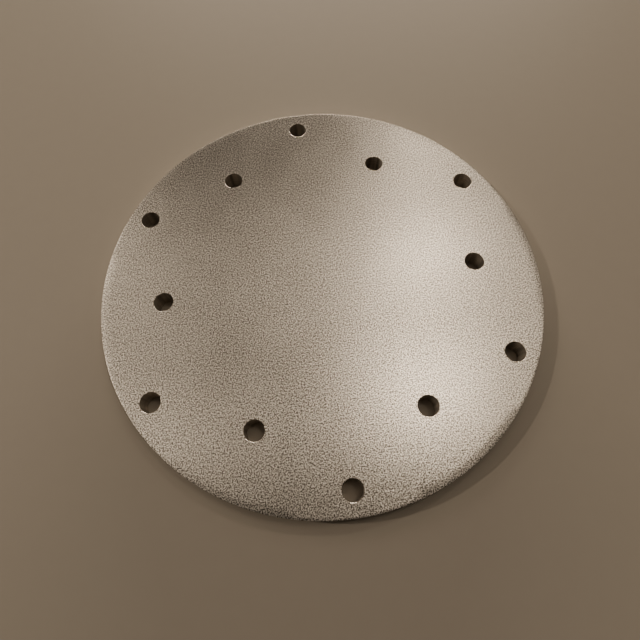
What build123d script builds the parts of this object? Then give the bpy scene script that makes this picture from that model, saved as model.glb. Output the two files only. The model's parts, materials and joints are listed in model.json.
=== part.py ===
"""Round flat cover plate, drilled with two concentric rings of through holes.

One solid disc lies on its back face. It has an outer ring of bolt holes close to
the rim and an inner ring of the same holes, turned by half a hole pitch so that
the two rings stagger. Every edge is broken: the rim lightly chamfered on both
faces, and each hole deburred at both mouths.

Frame: +Z points out of the show face, and the origin is the centre of the back
face, which is the face that beds on the mating part. One hole of the outer ring
lies on +Y, and one of the inner ring on +X. All lengths are millimetres.
"""

import os

from build123d import *

# Disc
plate_diameter = 250.0
plate_thickness = 12.0
rim_edge_break = 0.2  # chamfer along both edges of the rim

# Hole rings
hole_diameter = 11.0  # clear for an M10 screw
holes_per_ring = 6
rim_to_outer_ring = 12.5  # from the rim in to the outer ring's hole centres
ring_to_ring = 22.5  # from the outer ring's hole centres in to the inner ring's
hole_edge_break = 0.2  # chamfer at both mouths of each hole
outer_ring_start = 90.0  # degrees from +X to the outer ring's first hole

# Worked out from the sizes above
plate_radius = plate_diameter / 2
hole_radius = hole_diameter / 2
hole_pitch = 360.0 / holes_per_ring  # degrees between neighbours in one ring
outer_ring_radius = plate_radius - rim_to_outer_ring
inner_ring_radius = outer_ring_radius - ring_to_ring
inner_ring_start = outer_ring_start + hole_pitch / 2


with BuildPart() as cover_plate:
    # Blank disc with its rim edges broken
    with BuildSketch(Plane.XY):
        Circle(plate_radius)
    extrude(amount=plate_thickness)
    rim_edges = cover_plate.edges().filter_by(GeomType.CIRCLE)
    chamfer(rim_edges, length=rim_edge_break)

    # Two staggered rings of through holes, drilled from the show face
    show_face = Plane.XY.offset(plate_thickness)
    with Locations(show_face):
        with PolarLocations(outer_ring_radius, holes_per_ring, outer_ring_start):
            Hole(hole_radius)
        with PolarLocations(inner_ring_radius, holes_per_ring, inner_ring_start):
            Hole(hole_radius)

    # Deburred mouths: the hole-sized edges on the show face and on the back face
    mouths = cover_plate.edges().filter_by(
        lambda edge: edge.geom_type == GeomType.CIRCLE
        and abs(edge.radius - hole_radius) < hole_edge_break
    )
    chamfer(mouths, length=hole_edge_break)

cover_plate.part.label = "cover_plate"

os.makedirs("parts", exist_ok=True)
export_step(cover_plate.part, "parts/cover_plate.step")
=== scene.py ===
"""Visual model of a round cover plate, laid out as a Blender add-on.

The plate is one ground metal disc, drilled with two staggered circles of bolt
holes. It lies on a plain floor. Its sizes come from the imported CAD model, and
everything is in metres in that model's own frame.
"""

import json
import math

import bmesh
import bpy
import numpy as np
from bpy.props import FloatProperty, FloatVectorProperty, IntProperty, PointerProperty
from mathutils import Matrix, Vector


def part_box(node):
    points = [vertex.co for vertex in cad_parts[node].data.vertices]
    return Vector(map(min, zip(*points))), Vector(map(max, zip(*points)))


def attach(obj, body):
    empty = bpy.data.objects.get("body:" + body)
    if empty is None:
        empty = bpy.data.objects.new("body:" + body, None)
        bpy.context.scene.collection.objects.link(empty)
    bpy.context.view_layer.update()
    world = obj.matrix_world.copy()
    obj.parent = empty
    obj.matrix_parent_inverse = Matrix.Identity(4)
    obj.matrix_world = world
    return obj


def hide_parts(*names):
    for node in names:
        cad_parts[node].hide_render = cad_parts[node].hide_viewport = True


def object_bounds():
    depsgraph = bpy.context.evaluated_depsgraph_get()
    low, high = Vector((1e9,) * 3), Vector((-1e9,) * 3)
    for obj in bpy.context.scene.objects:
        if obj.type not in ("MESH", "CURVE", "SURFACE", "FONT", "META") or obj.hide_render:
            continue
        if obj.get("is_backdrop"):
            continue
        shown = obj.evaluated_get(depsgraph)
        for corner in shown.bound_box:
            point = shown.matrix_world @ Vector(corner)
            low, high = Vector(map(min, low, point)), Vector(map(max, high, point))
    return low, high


bl_info = {
    "name": "Round Cover Plate",
    "version": (1, 0, 0),
    "blender": (4, 5, 0),
    "location": "3D View > Sidebar > Cover Plate",
    "description": "A ground metal disc drilled with two staggered circles of bolt holes",
    "category": "Object",
}

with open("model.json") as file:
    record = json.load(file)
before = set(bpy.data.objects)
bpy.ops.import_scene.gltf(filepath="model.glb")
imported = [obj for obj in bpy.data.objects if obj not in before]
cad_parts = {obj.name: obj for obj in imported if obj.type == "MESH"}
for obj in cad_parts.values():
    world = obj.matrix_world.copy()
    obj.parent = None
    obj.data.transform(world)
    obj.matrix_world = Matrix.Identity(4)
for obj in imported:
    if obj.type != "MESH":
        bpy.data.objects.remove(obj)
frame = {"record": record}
CAD_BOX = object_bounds()
NODE = "cover_plate"
BODY = "root"
MM = 0.001

MOUNTS = {mount["name"]: mount["dims"] for mount in frame["record"]["mounts"]}
LOW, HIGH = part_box(NODE)
PLATE_RADIUS = (HIGH[0] - LOW[0]) / 2
HOLES_PER_CIRCLE = int(MOUNTS["outer_bolts"]["count"])
OUTER_CIRCLE = MOUNTS["outer_bolts"]["pcd_mm"] * MM / 2
INNER_CIRCLE = MOUNTS["inner_bolts"]["pcd_mm"] * MM / 2
HOLE_RADIUS = MOUNTS["outer_bolts"]["hole_r_mm"] * MM
FIRST_HOLE = math.radians(90)  # an outer hole lies on +Y
SECTOR = math.pi / HOLES_PER_CIRCLE  # each hole sits in its own sector of the disc
MERGE_DISTANCE = 1e-6

# The lamps overhead face straight down: name, place and size in metres, power in watts
CEILING = 2.0
CEILING_LAMPS = (
    ("lamp_near", (0.60, 0.28), (0.40, 0.40), 4.6),
    ("lamp_mid", (0.75, 1.02), (0.40, 0.16), 4.0),
    ("lamp_far", (0.95, 1.90), (0.50, 0.50), 3.7),
    ("lamp_edge", (1.30, 0.70), (0.30, 0.80), 1.4),
    ("ceiling_mid", (0.20, 1.00), (1.20, 0.90), 2.1),
    ("ceiling_near", (0.05, 0.15), (1.20, 0.40), 1.0),
    ("left_mid", (-0.90, 1.10), (0.60, 0.80), 1.0),
    ("left_near", (-0.85, 0.20), (0.50, 0.50), 1.1),
    ("left_hard", (-2.10, 0.50), (0.08, 0.08), 23.0),
    ("left_window", (-2.00, 1.95), (1.20, 1.40), 18.0),
)
# One low lamp behind the plate faces it
BACK_PLACE = (0.35, 1.96, 0.14)
BACK_SIZE = (2.00, 0.25)
BACK_POWER = 82.0
FADE_END = 0.7  # sine of the angle above the horizon where the pale surroundings end
CAMERA_SHIFT = (0.0004, -0.0020)


# ---------------------------------------------------------------- settings


class PlateSizes(bpy.types.PropertyGroup):
    """Edge breaks and mesh density of the plate."""

    rim_break: FloatProperty(
        name="Rim break",
        description="Radius of the rounded edges of the rim",
        default=0.2 * MM,
        min=0.0,
        subtype="DISTANCE",
        unit="LENGTH",
    )
    hole_break: FloatProperty(
        name="Hole break",
        description="Least radius of the rounded edge at each hole mouth",
        default=0.2 * MM,
        min=0.0,
        subtype="DISTANCE",
        unit="LENGTH",
    )
    chatter: FloatProperty(
        name="Chatter",
        description="How much wider the hole mouths' edges are where the deburring tool jumped",
        default=0.60 * MM,
        min=0.0,
        subtype="DISTANCE",
        unit="LENGTH",
    )
    hub_radius: FloatProperty(
        name="Hub radius",
        description="Radius of the plain middle of the disc, inside both hole circles",
        default=60 * MM,
        min=0.0,
        subtype="DISTANCE",
        unit="LENGTH",
    )
    arc_steps: IntProperty(
        name="Arc steps",
        description="Mesh steps along each sector's arcs",
        default=24,
        min=4,
    )
    side_steps: IntProperty(
        name="Side steps",
        description="Mesh steps along each sector's straight sides",
        default=20,
        min=4,
    )


class MetalFinish(bpy.types.PropertyGroup):
    """The ground finish of the plate's metal."""

    bright: FloatVectorProperty(
        name="Bright grain",
        description="Colour of the cleanest grains of the ground faces",
        subtype="COLOR",
        default=(0.97, 0.92, 0.86),
        min=0.0,
        max=1.0,
    )
    dull: FloatVectorProperty(
        name="Dull grain",
        description="Colour of the dullest grains of the ground faces",
        subtype="COLOR",
        default=(0.13, 0.117, 0.10),
        min=0.0,
        max=1.0,
    )
    rim: FloatVectorProperty(
        name="Turned wall",
        description="Colour of the rim's clean turned wall",
        subtype="COLOR",
        default=(0.84, 0.80, 0.74),
        min=0.0,
        max=1.0,
    )
    bore: FloatVectorProperty(
        name="Drilled wall",
        description="Colour of the hole walls, dulled by cutting oil",
        subtype="COLOR",
        default=(0.42, 0.38, 0.33),
        min=0.0,
        max=1.0,
    )
    bore_film: FloatProperty(
        name="Bore film",
        description="Share of the hole walls that a matt film hides",
        default=0.5,
        min=0.0,
        max=1.0,
        subtype="FACTOR",
    )
    grain_size: FloatProperty(
        name="Grain size",
        description="Width of a grain of the ground faces",
        default=0.6 * MM,
        min=0.01 * MM,
        subtype="DISTANCE",
        unit="LENGTH",
    )
    grain_stretch: FloatProperty(
        name="Grain stretch",
        description="How many times longer than wide a grain is",
        default=1.3,
        min=1.0,
    )
    grain_contrast: FloatProperty(
        name="Grain contrast",
        description="How much bright and dull grains differ",
        default=4.0,
        min=0.0,
    )
    grain_tilt: FloatProperty(
        name="Grain tilt",
        description="How far the grains lean from the face, as a slope",
        default=0.06,
        min=0.0,
    )
    cloud_contrast: FloatProperty(
        name="Cloud contrast",
        description="How much the brightness of whole areas differs",
        default=0.15,
        min=0.0,
    )
    scratch_contrast: FloatProperty(
        name="Scratch contrast",
        description="How much brighter than the grain a scratch is",
        default=0.12,
        min=0.0,
    )
    scratch_length: FloatProperty(
        name="Scratch length",
        description="Usual length of a straight scratch",
        default=16 * MM,
        min=0.1 * MM,
        subtype="DISTANCE",
        unit="LENGTH",
    )
    scratch_width: FloatProperty(
        name="Scratch width",
        description="Usual width of a straight scratch",
        default=0.45 * MM,
        min=0.01 * MM,
        subtype="DISTANCE",
        unit="LENGTH",
    )
    scratch_turn: FloatProperty(
        name="Scratch turn",
        description="Angle of the first family of scratches from +X",
        default=math.radians(2),
        subtype="ANGLE",
        unit="ROTATION",
    )
    roughness: FloatProperty(
        name="Roughness",
        description="Mean roughness of the ground faces",
        default=0.30,
        min=0.0,
        max=1.0,
        subtype="FACTOR",
    )


class StageSettings(bpy.types.PropertyGroup):
    """The floor, the lights and the camera."""

    floor_colour: FloatVectorProperty(
        name="Floor",
        description="Colour of the plain floor",
        subtype="COLOR",
        default=(0.35, 0.315, 0.27),
        min=0.0,
        max=1.0,
    )
    lamp_colour: FloatVectorProperty(
        name="Lamps",
        description="Colour of every lamp",
        subtype="COLOR",
        default=(1.0, 0.84, 0.66),
        min=0.0,
        max=1.0,
    )
    azimuth: FloatProperty(
        name="Azimuth",
        description="Direction that the camera looks from, turned from -Y",
        default=math.radians(-5.5),
        subtype="ANGLE",
        unit="ROTATION",
    )
    elevation: FloatProperty(
        name="Elevation",
        description="Angle of the camera's line of sight above the floor",
        default=math.radians(69.09),
        subtype="ANGLE",
        unit="ROTATION",
    )
    roll: FloatProperty(
        name="Roll",
        description="Turn of the camera about its line of sight",
        default=math.radians(-2.53),
        subtype="ANGLE",
        unit="ROTATION",
    )
    distance: FloatProperty(
        name="Distance",
        description="From the camera to the point that it aims at",
        default=240.4 * MM,
        subtype="DISTANCE",
        unit="LENGTH",
    )
    aim: FloatVectorProperty(
        name="Aim",
        description="Point on the show face that the camera aims at",
        subtype="XYZ",
        unit="LENGTH",
        default=(-3.8 * MM, -22.6 * MM, HIGH[2]),
    )
    lens: FloatProperty(
        name="Lens",
        description="Focal length for a sensor 36 mm wide",
        default=24.39,
    )
    horizon_light: FloatProperty(
        name="Horizon light",
        description="Strength of the surroundings at the horizon",
        default=0.18,
        min=0.0,
    )
    overhead_light: FloatProperty(
        name="Overhead light",
        description="Strength of the surroundings above the fade",
        default=0.015,
        min=0.0,
    )


# ---------------------------------------------------------------- shader maths


class Value:
    """A number or colour that flows between shader nodes.

    Python's operators work on it: each adds one Math node to the node tree.
    """

    def __init__(self, graph, socket):
        self.graph = graph
        self.socket = socket

    def _math(self, operation, *terms):
        return self.graph.node("ShaderNodeMath", {"operation": operation}, dict(enumerate(terms)))

    def __add__(self, other):
        return self._math("ADD", self, other)

    def __sub__(self, other):
        return self._math("SUBTRACT", self, other)

    def __rsub__(self, other):
        return self._math("SUBTRACT", other, self)

    def __mul__(self, other):
        return self._math("MULTIPLY", self, other)

    __radd__ = __add__
    __rmul__ = __mul__

    def clamp(self):
        """This value held between 0 and 1."""
        settings = {"operation": "ADD", "use_clamp": True}
        return self.graph.node("ShaderNodeMath", settings, {0: self, 1: 0.0})

    def output(self, name):
        """Another output of the node that this value comes from."""
        return Value(self.graph, self.socket.node.outputs[name])

    def between(self, low, high):
        """0 where this value is at or below low, 1 at or above high, smooth between."""
        settings = {"interpolation_type": "SMOOTHSTEP"}
        sockets = {"Value": self, "From Min": low, "From Max": high}
        return self.graph.node("ShaderNodeMapRange", settings, sockets)


class Graph:
    """The node tree of one material."""

    def __init__(self, name):
        self.material = bpy.data.materials.new(name)
        self.material.use_nodes = True
        self.tree = self.material.node_tree
        self.tree.nodes.clear()

    def node(self, kind, settings=None, sockets=None, output=0):
        """Adds a node with its settings, then its socket values or links, and gives one output."""
        made = self.tree.nodes.new(kind)
        for name, value in (settings or {}).items():
            setattr(made, name, value)
        for name, value in (sockets or {}).items():
            if isinstance(value, Value):
                self.tree.links.new(value.socket, made.inputs[name])
            else:
                made.inputs[name].default_value = value
        return Value(self, made.outputs[output])

    def position(self, scale=(1.0, 1.0, 1.0), turn=0.0, shift=(0.0, 0.0, 0.0)):
        """Object coordinates, turned about Z, then multiplied by scale and shifted."""
        place = self.node("ShaderNodeTexCoord", output="Object")
        if turn:
            settings = {"rotation_type": "Z_AXIS"}
            place = self.node("ShaderNodeVectorRotate", settings, {"Vector": place, "Angle": turn})
        settings = {"operation": "MULTIPLY_ADD"}
        return self.node("ShaderNodeVectorMath", settings, {0: place, 1: scale, 2: shift})

    def vector(self, operation, first, second=None, scale=None):
        """Vector maths on one or two vectors."""
        terms = {0: first, 1: second, "Scale": scale}
        terms = {name: value for name, value in terms.items() if value is not None}
        return self.node("ShaderNodeVectorMath", {"operation": operation}, terms)

    def noise(self, place, detail=2.0, roughness=0.5):
        """Soft random values about 0.5, changing over one unit of place."""
        settings = {"noise_dimensions": "3D", "normalize": True}
        sockets = {"Vector": place, "Scale": 1.0, "Detail": detail, "Roughness": roughness}
        return self.node("ShaderNodeTexNoise", settings, sockets)

    def blend(self, factor, first, second):
        """Colour first where factor is 0, second where it is 1."""
        settings = {"data_type": "RGBA"}
        return self.node("ShaderNodeMix", settings, {0: factor, 6: first, 7: second}, output=2)

    def finish(self, shader):
        """Sends a shader to the material's surface."""
        surface = self.tree.nodes.new("ShaderNodeOutputMaterial").inputs["Surface"]
        self.tree.links.new(shader.socket, surface)
        return self.material


def rgba(colour):
    """A colour property as the four numbers that a socket takes."""
    return (*colour, 1.0)


def inverse(*lengths):
    """Scale factors that make one unit of noise as long as each length."""
    return tuple(1.0 / length for length in lengths)


# ---------------------------------------------------------------- materials


def scratches(graph, finish, turn, shift):
    """A family of straight scratches: noise drawn out along one line, kept where it peaks."""
    length, width = finish.scratch_length, finish.scratch_width
    place = graph.position(inverse(length, width, width), turn, shift)
    return graph.noise(place, detail=1.5, roughness=0.6).between(0.56, 0.70)


def grains(graph, size, stretch, shift):
    """Light and dark specks, each size wide and drawn out by stretch along X and Y.

    They are one octave of noise, whose red, green and blue vary apart.
    """
    lengths = (size * stretch[0], size * stretch[1], size)
    place = graph.position(inverse(*lengths), shift=shift)
    sockets = {"Vector": place, "Scale": 1.0, "Detail": 0.0}
    return graph.node("ShaderNodeTexNoise", {"normalize": True}, sockets, output="Color")


def ground_metal(finish):
    """Ground metal: tiny grains drawn out two ways, crossed by faint straight scratches.

    Each grain has its own brightness and its own small tilt. The mesh attribute wall
    is 1 on the rim's and the holes' walls, which are turned and drilled: they carry
    fine level rings in place of the grains. The attribute bore is 1 on the holes' walls.
    """
    graph = Graph("ground_metal")
    size = finish.grain_size
    first = grains(graph, size, (finish.grain_stretch, 1.0), (0.0, 0.0, 0.0))
    second = grains(graph, size, (1.0, finish.grain_stretch), (31.0, 17.0, 5.0))
    both = graph.vector("ADD", first, second)
    parts = graph.node("ShaderNodeSeparateXYZ", sockets={"Vector": both})
    grain = parts.output("X") * 0.5
    cloud = graph.noise(graph.position(inverse(18 * MM, 18 * MM, 18 * MM)), 2.0)
    along = scratches(graph, finish, finish.scratch_turn, (0.0, 0.0, 0.0))
    across = scratches(graph, finish, finish.scratch_turn + math.radians(88), (7.0, 3.0, 0.0))
    wall = graph.node("ShaderNodeAttribute", {"attribute_name": "wall"}, output="Fac")
    bore = graph.node("ShaderNodeAttribute", {"attribute_name": "bore"}, output="Fac")

    light = 0.5 + (grain - 0.5) * finish.grain_contrast + (cloud - 0.5) * finish.cloud_contrast
    light = (light + (along + across) * finish.scratch_contrast).clamp()
    face_colour = graph.blend(light, rgba(finish.dull), rgba(finish.bright))

    rings = graph.noise(graph.position(inverse(30 * MM, 30 * MM, 0.25 * MM)), 2.0)
    # The drill's streaks run along each hole, lighter and darker than the plain wall
    streaks = graph.noise(graph.position(inverse(3.5 * MM, 3.5 * MM, 40 * MM)), 2.0)
    ring_shade = 0.7 + rings.between(0.35, 0.65) * 0.4
    ring_shade = ring_shade * (1 + bore * (streaks.between(0.3, 0.7) * 1.1 - 0.4))
    wall_colour = graph.blend(bore, rgba(finish.rim), rgba(finish.bore))
    wall_colour = graph.vector("SCALE", wall_colour, scale=ring_shade)

    rough = finish.roughness + (0.5 - grain) * 0.02 + (cloud - 0.5) * 0.04
    rough = rough * (1 - wall) + wall * (0.34 + (rings - 0.5) * 0.3) + bore * 0.1

    # Each grain leans its own way; on the walls only the rings' relief is left
    level = graph.node("ShaderNodeNewGeometry", output="Normal")
    lean = graph.vector("SUBTRACT", both, (1.0, 1.0, 1.0))
    lean = graph.vector("SCALE", lean, scale=(1 - wall) * finish.grain_tilt)
    tilted = graph.vector("NORMALIZE", graph.vector("ADD", level, lean))
    height = rings * wall * 0.6 - (along + across) * 0.25 * (1 - wall)
    normal = graph.node(
        "ShaderNodeBump",
        sockets={"Strength": 0.2, "Distance": 0.06 * MM, "Height": height, "Normal": tilted},
    )
    shader = graph.node(
        "ShaderNodeBsdfPrincipled",
        sockets={
            "Base Color": graph.blend(wall, face_colour, wall_colour),
            "Metallic": 1 - bore * finish.bore_film,
            "Roughness": rough.clamp(),
            "Normal": normal,
        },
    )
    return graph.finish(shader)


def plain_floor(stage):
    """Smooth matt floor with the faintest mottle."""
    graph = Graph("plain_floor")
    mottle = graph.noise(graph.position(inverse(9 * MM, 9 * MM, 9 * MM)), 3.0)
    pale = tuple(1.02 * channel for channel in stage.floor_colour)
    deep = tuple(0.98 * channel for channel in stage.floor_colour)
    shader = graph.node(
        "ShaderNodeBsdfPrincipled",
        sockets={
            "Base Color": graph.blend(mottle, rgba(deep), rgba(pale)),
            "Roughness": 0.62,
            "Specular IOR Level": 0.3,
        },
    )
    return graph.finish(shader)


def pale_room(stage):
    """Dim surroundings, palest at the horizon and fading out about halfway up.

    The fade runs with the sine of the angle above the horizon, up to FADE_END.
    """
    world = bpy.data.worlds.new("room")
    world.use_nodes = True
    nodes, links = world.node_tree.nodes, world.node_tree.links
    direction = nodes.new("ShaderNodeTexCoord").outputs["Generated"]
    height = nodes.new("ShaderNodeSeparateXYZ")
    fade = nodes.new("ShaderNodeMapRange")
    fade.interpolation_type = "SMOOTHSTEP"
    limits = {
        "From Min": 0.0,
        "From Max": FADE_END,
        "To Min": stage.horizon_light,
        "To Max": stage.overhead_light,
    }
    for name, value in limits.items():
        fade.inputs[name].default_value = value
    background = nodes["Background"]
    background.inputs["Color"].default_value = rgba(stage.lamp_colour)
    links.new(direction, height.inputs[0])
    links.new(height.outputs["Z"], fade.inputs["Value"])
    links.new(fade.outputs["Result"], background.inputs["Strength"])
    return world


# ---------------------------------------------------------------- surfaces


def grid_faces(rows, columns):
    """Four corners of each face of a grid whose columns join up: down a row, then along."""
    row, column = np.meshgrid(np.arange(rows - 1), np.arange(columns), indexing="ij")
    following = (column + 1) % columns
    corners = (row * columns + column, (row + 1) * columns + column)
    corners += ((row + 1) * columns + following, row * columns + following)
    return np.stack(corners, axis=-1).reshape(-1, 4)


def quarter_round(steps):
    """Points round a quarter circle, from (0, 1) to (1, 0), as (cosine, sine) arrays."""
    turn = np.linspace(math.pi / 2, 0.0, steps)
    return np.cos(turn), np.sin(turn)


def revolved(radius, height, angles):
    """A profile turned about Z: x = radius cos(angle), y = radius sin(angle), z = height."""
    x = radius[:, None] * np.cos(angles)
    y = radius[:, None] * np.sin(angles)
    z = np.broadcast_to(height[:, None], x.shape)
    return np.stack((x, y, z), axis=-1)


def edge_chatter(angles, seed):
    """Random ripple round a hole mouth: a sum of sines whose size falls as they get finer."""
    random = np.random.default_rng(seed)
    waves = np.arange(3, 26)
    phase = random.uniform(0, 2 * math.pi, waves.size)
    size = random.normal(size=waves.size) / np.sqrt(waves)
    ripple = (size[:, None] * np.cos(waves[:, None] * angles + phase[:, None])).sum(axis=0)
    return ripple / np.abs(ripple).max()


def sector_outline(middle, inner, outer, arc_steps, side_steps):
    """Points round one sector of the disc, as (radius, angle): out along one side, round
    the outer arc, in along the other side and back round the inner arc."""
    half = SECTOR / 2
    side = np.linspace(inner, outer, side_steps, endpoint=False)
    arc = np.linspace(-half, half, arc_steps, endpoint=False)
    outer_arc, inner_arc = np.full(arc_steps, outer), np.full(arc_steps, inner)
    radius = np.concatenate((side, outer_arc, inner + outer - side, inner_arc))
    turn = np.concatenate((np.full(side_steps, -half), arc, np.full(side_steps, half), -arc))
    return radius, middle + turn


def hole_cell(index, sizes):
    """The sector of the disc round one hole: both faces and the hole's wall.

    The hole's section is a quarter round at each mouth and a straight wall between
    them. It is carried round the hole's axis, and from each mouth the flat face runs
    out in straight lines to the sector's outline. Returns points and the wall mask.
    """
    middle = FIRST_HOLE + SECTOR * index
    circle = OUTER_CIRCLE if index % 2 == 0 else INNER_CIRCLE
    centre = circle * np.array((math.cos(middle), math.sin(middle)))
    flat_edge = PLATE_RADIUS - sizes.rim_break
    radius, angle = sector_outline(middle, sizes.hub_radius, flat_edge, sizes.arc_steps, sizes.side_steps)
    outline = np.stack((radius * np.cos(angle), radius * np.sin(angle)), axis=-1)

    # Even angles round the hole, with the outer arc's middle straight outwards
    count = len(outline)
    step = 2 * math.pi / count
    first = middle - step * (sizes.side_steps + sizes.arc_steps / 2)
    around = first + step * np.arange(count)
    towards = np.stack((np.cos(around), np.sin(around)), axis=-1)

    def mouth(seed, height, upwards):
        """Rows from the flat face's edge of one mouth down to the start of the wall."""
        width = sizes.hole_break + sizes.chatter * edge_chatter(around, seed) ** 2
        cosine, sine = quarter_round(7)
        reach = HOLE_RADIUS + width * (1 - cosine)[:, None]
        drop = width * (1 - sine)[:, None]
        level = height - drop * (1 if upwards else -1)
        return reach, level

    def face(reach, height):
        """Rows from the sector's outline to just outside a mouth, on a flat face."""
        collar = reach + 0.8 * MM
        start = centre + collar[:, None] * towards
        share = np.linspace(1.0, 0.0, 7)[:, None, None]
        spokes = outline * share + start * (1 - share)
        near = np.array((0.3, 0.05))[:, None] * MM + reach
        rings = centre + near[..., None] * towards
        flat = np.concatenate((spokes, rings))
        return np.concatenate((flat, np.full((*flat.shape[:2], 1), height)), axis=-1)

    def walls(reach, level):
        """Rows of points at a distance from the hole's axis and a height."""
        flat = centre + reach[..., None] * towards
        return np.concatenate((flat, level[..., None]), axis=-1)

    top_reach, top_level = mouth(2 * index, HIGH[2], True)
    low_reach, low_level = mouth(2 * index + 1, LOW[2], False)
    share = np.linspace(0, 1, 9)[1:-1, None]
    wall_level = top_level[-1] * (1 - share) + low_level[-1] * share
    wall_reach = np.full_like(wall_level, HOLE_RADIUS)
    rows = [
        face(top_reach[0], HIGH[2]),
        walls(top_reach, top_level),
        walls(wall_reach, wall_level),
        walls(low_reach, low_level)[::-1],
        face(low_reach[0], LOW[2])[::-1],
    ]
    on_wall = [np.full(len(block), kind) for block, kind in zip(rows, (0.0, 0.0, 1.0, 0.0, 0.0))]
    on_wall[1][-1] = on_wall[3][0] = 1.0
    points = np.concatenate(rows)
    mask = np.broadcast_to(np.concatenate(on_wall)[:, None], points.shape[:2])
    return points, mask


def plate_patches(sizes):
    """Every patch of the plate: the two hub faces, the rim and one cell for each hole.

    A patch is its grid of points, its wall mask and whether it is a drilled hole's.
    """
    sectors = 2 * HOLES_PER_CIRCLE
    count = sectors * sizes.arc_steps
    angles = FIRST_HOLE - SECTOR / 2 + SECTOR / sizes.arc_steps * np.arange(count)

    hub = np.linspace(0.0, sizes.hub_radius, 7)
    top_hub = revolved(hub, np.full(hub.size, HIGH[2]), angles)
    low_hub = revolved(hub[::-1], np.full(hub.size, LOW[2]), angles)

    cosine, sine = quarter_round(7)
    edge = PLATE_RADIUS - sizes.rim_break * (1 - cosine)
    drop = sizes.rim_break * (1 - sine)
    wall = np.linspace(HIGH[2] - sizes.rim_break, LOW[2] + sizes.rim_break, 7)[1:-1]
    radius = np.concatenate((edge, np.full(wall.size, PLATE_RADIUS), edge[::-1]))
    height = np.concatenate((HIGH[2] - drop, wall, LOW[2] + drop[::-1]))
    rim = revolved(radius, height, angles)
    rim_mask = np.repeat(np.array((0.0, 1.0, 0.0)), (edge.size - 1, wall.size + 2, edge.size - 1))

    patches = [(hub_face, np.zeros(hub_face.shape[:2]), False) for hub_face in (top_hub, low_hub)]
    patches.append((rim, np.broadcast_to(rim_mask[:, None], rim.shape[:2]), False))
    # A cell's rows run inwards, so its grid is turned round to keep its faces outwards
    for index in range(sectors):
        points, mask = hole_cell(index, sizes)
        patches.append((points[:, ::-1], mask[:, ::-1], True))
    return patches


def plate_mesh(sizes):
    """One closed mesh of the plate, with two point attributes.

    The attribute wall is 1 on every wall, and bore is 1 on the holes' walls only.
    """
    patches = plate_patches(sizes)
    points = np.concatenate([patch.reshape(-1, 3) for patch, *_ in patches])
    masks = {
        "wall": np.concatenate([mask.reshape(-1) for _, mask, _ in patches]),
        "bore": np.concatenate([mask.reshape(-1) * drilled for _, mask, drilled in patches]),
    }
    faces, start = [], 0
    for patch, *_ in patches:
        rows, columns = patch.shape[:2]
        faces.append(start + grid_faces(rows, columns))
        start += rows * columns
    mesh = bpy.data.meshes.new("plate")
    mesh.from_pydata(points, [], np.concatenate(faces))
    for name, mask in masks.items():
        mesh.attributes.new(name, "FLOAT", "POINT").data.foreach_set("value", mask.astype(np.float32))

    welded = bmesh.new()
    welded.from_mesh(mesh)
    bmesh.ops.remove_doubles(welded, verts=welded.verts, dist=MERGE_DISTANCE)
    bmesh.ops.dissolve_degenerate(welded, edges=welded.edges, dist=MERGE_DISTANCE / 2)
    welded.to_mesh(mesh)
    welded.free()
    mesh.shade_smooth()
    return mesh


def link(data, name):
    """A new object at the origin, in the scene."""
    made = bpy.data.objects.new(name, data)
    bpy.context.scene.collection.objects.link(made)
    return made


def area_light(name, place, aim, size, power, colour):
    """A rectangular light at place, facing aim."""
    data = bpy.data.lights.new(name, "AREA")
    data.shape = "RECTANGLE"
    data.size, data.size_y = size
    data.energy = power
    data.color = colour
    lamp = link(data, name)
    lamp.location = place
    lamp.rotation_euler = (Vector(aim) - Vector(place)).to_track_quat("-Z", "Y").to_euler()
    return lamp


# ---------------------------------------------------------------- operators


class COVERPLATE_OT_plate(bpy.types.Operator):
    """Build the drilled disc and give it its ground finish"""

    bl_idname = "cover_plate.plate"
    bl_label = "Plate"

    def execute(self, context):
        plate = link(plate_mesh(context.scene.cover_plate_sizes), "plate")
        plate.data.materials.append(ground_metal(context.scene.cover_plate_finish))
        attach(plate, BODY)
        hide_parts(NODE)
        return {"FINISHED"}


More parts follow.
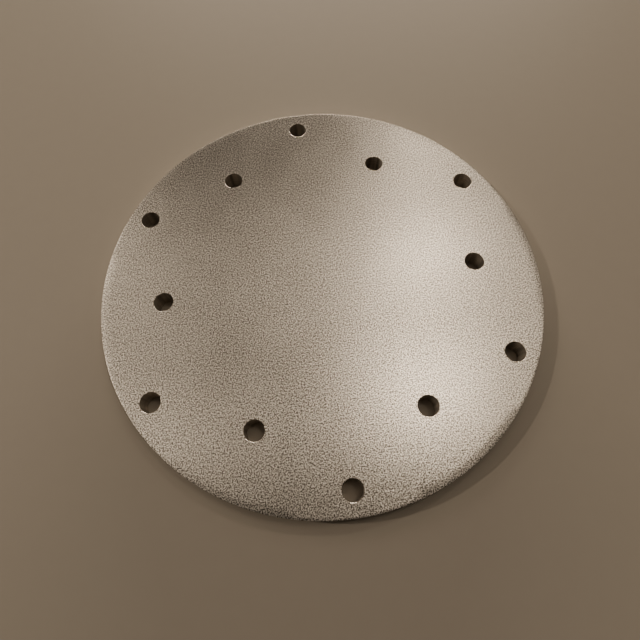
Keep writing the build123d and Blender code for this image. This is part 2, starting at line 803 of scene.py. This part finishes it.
class COVERPLATE_OT_stage(bpy.types.Operator):
    """Set the floor, the lights and the camera"""

    bl_idname = "cover_plate.stage"
    bl_label = "Stage"

    def execute(self, context):
        stage = context.scene.cover_plate_stage
        mesh = bpy.data.meshes.new("floor")
        reach = 4.0
        corners = [(-reach, -reach), (reach, -reach), (reach, reach), (-reach, reach)]
        mesh.from_pydata([(x, y, LOW[2]) for x, y in corners], [], [(0, 1, 2, 3)])
        floor = link(mesh, "floor")
        floor.data.materials.append(plain_floor(stage))
        floor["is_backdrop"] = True

        for name, (x, y), size, power in CEILING_LAMPS:
            area_light(name, (x, y, CEILING), (x, y, 0.0), size, power, stage.lamp_colour)
        area_light("back_low", BACK_PLACE, (0.0, 0.0, 0.0), BACK_SIZE, BACK_POWER, stage.lamp_colour)

        context.scene.world = pale_room(stage)

        turn = Matrix.Rotation(stage.azimuth, 3, "Z")
        turn = turn @ Matrix.Rotation(math.pi / 2 - stage.elevation, 3, "X")
        turn = turn @ Matrix.Rotation(stage.roll, 3, "Z")
        data = bpy.data.cameras.new("camera")
        data.sensor_width = 36.0
        data.lens = stage.lens
        data.clip_start = 0.01
        data.shift_x, data.shift_y = CAMERA_SHIFT
        camera = link(data, "camera")
        camera.location = Vector(stage.aim) + turn @ Vector((0, 0, stage.distance))
        camera.rotation_euler = turn.to_euler()
        context.scene.camera = camera
        return {"FINISHED"}


class COVERPLATE_PT_panel(bpy.types.Panel):
    """Cover plate tools"""

    bl_idname = "COVERPLATE_PT_panel"
    bl_label = "Cover Plate"
    bl_space_type = "VIEW_3D"
    bl_region_type = "UI"
    bl_category = "Cover Plate"

    def draw(self, context):
        for operator in (COVERPLATE_OT_plate, COVERPLATE_OT_stage):
            self.layout.operator(operator.bl_idname)
        for group in PROPERTIES:
            settings = getattr(context.scene, group)
            for name in settings.__annotations__:
                self.layout.prop(settings, name)


PROPERTIES = {
    "cover_plate_sizes": PlateSizes,
    "cover_plate_finish": MetalFinish,
    "cover_plate_stage": StageSettings,
}
CLASSES = (*PROPERTIES.values(), COVERPLATE_OT_plate, COVERPLATE_OT_stage, COVERPLATE_PT_panel)


def register():
    """Make the settings, operators and panel known to Blender."""
    for kind in CLASSES:
        bpy.utils.register_class(kind)
    for name, kind in PROPERTIES.items():
        setattr(bpy.types.Scene, name, PointerProperty(type=kind))


def unregister():
    """Take the settings, operators and panel away again."""
    for name in PROPERTIES:
        delattr(bpy.types.Scene, name)
    for kind in reversed(CLASSES):
        bpy.utils.unregister_class(kind)


def main():
    register()
    bpy.ops.cover_plate.plate()
    bpy.ops.cover_plate.stage()
    boxes = {"cad": CAD_BOX, "visual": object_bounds()}
    boxes = {name: [[float(number) for number in corner] for corner in box] for name, box in boxes.items()}


if __name__ == "__main__":
    main()
